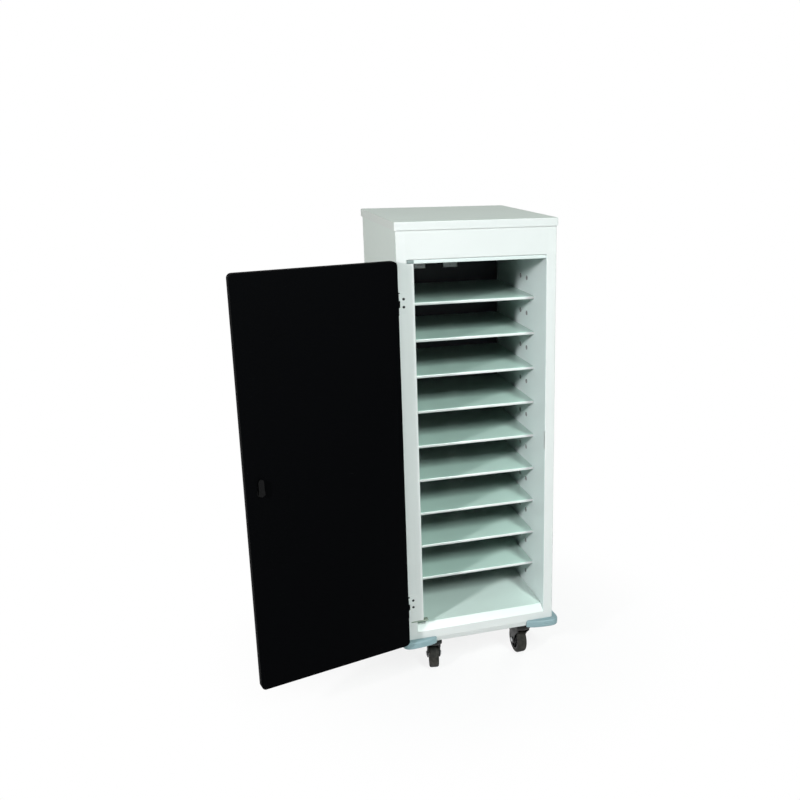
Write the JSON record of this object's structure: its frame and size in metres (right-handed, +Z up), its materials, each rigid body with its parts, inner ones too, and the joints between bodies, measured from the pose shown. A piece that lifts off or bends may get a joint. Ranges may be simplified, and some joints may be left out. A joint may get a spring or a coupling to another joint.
{
  "type": "laptop charging cart",
  "caption": "Tall narrow sheet-metal cart on swivel castors, with stacked laptop shelves, power outlets behind them and a hinged lockable door.",
  "frame": {"origin": "on the floor under the middle of the cabinet", "axes": "+Z up, +X to the right seen from the front, the open front faces -Y"},
  "size_m": [0.8, 0.5687, 1.2],
  "materials": {
    "white_paint": "white powder coat, satin",
    "shelf_paint": "off-white powder coat, semi-gloss",
    "back_paint": "grey powder coat, matt",
    "door_paint": "black powder coat, satin",
    "bumper_plastic": "blue-grey moulded plastic",
    "outlet_plastic": "light grey moulded plastic",
    "black_plastic": "black moulded plastic",
    "lead_sheath": "black cable sheath",
    "lock_steel": "nickel plated",
    "zinc_steel": "bright zinc plated",
    "castor_plastic": "black moulded plastic",
    "tread_rubber": "dark grey rubber"
  },
  "bodies": {
    "cabinet": {"side_panel_left": "white_paint", "side_panel_right": "white_paint", "hinge_post": "white_paint", "header_panel": "white_paint", "top_lid": "white_paint", "base_plinth": "white_paint", "base_plate": "white_paint", "rear_header": "white_paint", "rear_cover": "white_paint", "compartment_ceiling": "white_paint", "lower_hinge_frame_leaf": "white_paint", "upper_hinge_frame_leaf": "white_paint", "shelf_1": "shelf_paint", "shelf_2": "shelf_paint", "shelf_3": "shelf_paint", "shelf_4": "shelf_paint", "shelf_5": "shelf_paint", "shelf_6": "shelf_paint", "shelf_7": "shelf_paint", "shelf_8": "shelf_paint", "shelf_9": "shelf_paint", "back_panel": "back_paint", "lower_hinge_pin": "door_paint", "upper_hinge_pin": "door_paint", "bumper_front_left": "bumper_plastic", "bumper_front_right": "bumper_plastic", "bumper_rear_right": "bumper_plastic", "bumper_rear_left": "bumper_plastic", "outlet_strip_left": "outlet_plastic", "outlet_strip_right": "outlet_plastic", "power_unit": "black_plastic", "mains_inlet": "black_plastic", "outlet_lead_left": "lead_sheath", "outlet_lead_right": "lead_sheath", "mains_lead": "lead_sheath", "castor_plate_front_left": "zinc_steel", "castor_plate_front_right": "zinc_steel", "castor_plate_rear_left": "zinc_steel", "castor_plate_rear_right": "zinc_steel"},
    "door": {"door_skin": "door_paint", "door_liner": "door_paint", "lower_hinge_door_leaf": "door_paint", "upper_hinge_door_leaf": "door_paint", "lock_barrel": "lock_steel"},
    "lock": {"lock_plug": "lock_steel", "lock_cam": "lock_steel"},
    "castor_front_left": {"castor_fork_front_left": "castor_plastic", "castor_axle_front_left": "zinc_steel"},
    "wheel_front_left": {"castor_wheel_front_left": "tread_rubber"},
    "castor_front_right": {"castor_fork_front_right": "castor_plastic", "castor_axle_front_right": "zinc_steel"},
    "wheel_front_right": {"castor_wheel_front_right": "tread_rubber"},
    "castor_rear_left": {"castor_fork_rear_left": "castor_plastic", "castor_axle_rear_left": "zinc_steel"},
    "wheel_rear_left": {"castor_wheel_rear_left": "tread_rubber"},
    "castor_rear_right": {"castor_fork_rear_right": "castor_plastic", "castor_axle_rear_right": "zinc_steel"},
    "wheel_rear_right": {"castor_wheel_rear_right": "tread_rubber"},
    "brake_front_left": {"brake_pedal_front_left": "castor_plastic"},
    "brake_front_right": {"brake_pedal_front_right": "castor_plastic"}
  },
  "joints": [
    {"name": "door_hinge", "type": "hinge", "parent": "cabinet", "child": "door", "pos_m": [-0.2, -0.229, 0.6197], "axis": [0, 0, 1], "range_deg": [-13.65, 166.35]},
    {"name": "lock_turn", "type": "hinge", "parent": "door", "child": "lock", "pos_m": [-0.54983, -0.31396, 0.6197], "axis": [0.236, -0.9718, 0], "range_deg": [0, 90]},
    {"name": "castor_swivel_front_left", "type": "hinge", "parent": "cabinet", "child": "castor_front_left", "pos_m": [-0.124, -0.174, 0.0937], "axis": [0, 0, 1], "continuous": true},
    {"name": "wheel_spin_front_left", "type": "hinge", "parent": "castor_front_left", "child": "wheel_front_left", "pos_m": [-0.1198, -0.1524, 0.0375], "axis": [0.9816, -0.1908, 0], "continuous": true},
    {"name": "brake_press_front_left", "type": "hinge", "parent": "castor_front_left", "child": "brake_front_left", "pos_m": [-0.11522, -0.12884, 0.076], "axis": [-0.9816, 0.1908, 0], "range_deg": [0, 12]},
    {"name": "castor_swivel_front_right", "type": "hinge", "parent": "cabinet", "child": "castor_front_right", "pos_m": [0.124, -0.174, 0.0937], "axis": [0, 0, 1], "continuous": true},
    {"name": "wheel_spin_front_right", "type": "hinge", "parent": "castor_front_right", "child": "wheel_front_right", "pos_m": [0.12285, -0.15203, 0.0375], "axis": [0.9986, 0.0523, 0], "continuous": true},
    {"name": "brake_press_front_right", "type": "hinge", "parent": "castor_front_right", "child": "brake_front_right", "pos_m": [0.12159, -0.12806, 0.076], "axis": [-0.9986, -0.0523, 0], "range_deg": [0, 12]},
    {"name": "castor_swivel_rear_left", "type": "hinge", "parent": "cabinet", "child": "castor_rear_left", "pos_m": [-0.124, 0.174, 0.0937], "axis": [0, 0, 1], "continuous": true},
    {"name": "wheel_spin_rear_left", "type": "hinge", "parent": "castor_rear_left", "child": "wheel_rear_left", "pos_m": [-0.12857, 0.19552, 0.0375], "axis": [0.9781, 0.2079, 0], "continuous": true},
    {"name": "castor_swivel_rear_right", "type": "hinge", "parent": "cabinet", "child": "castor_rear_right", "pos_m": [0.124, 0.174, 0.0937], "axis": [0, 0, 1], "continuous": true},
    {"name": "wheel_spin_rear_right", "type": "hinge", "parent": "castor_rear_right", "child": "wheel_rear_right", "pos_m": [0.11943, 0.19552, 0.0375], "axis": [0.9781, 0.2079, 0], "continuous": true}
  ]
}
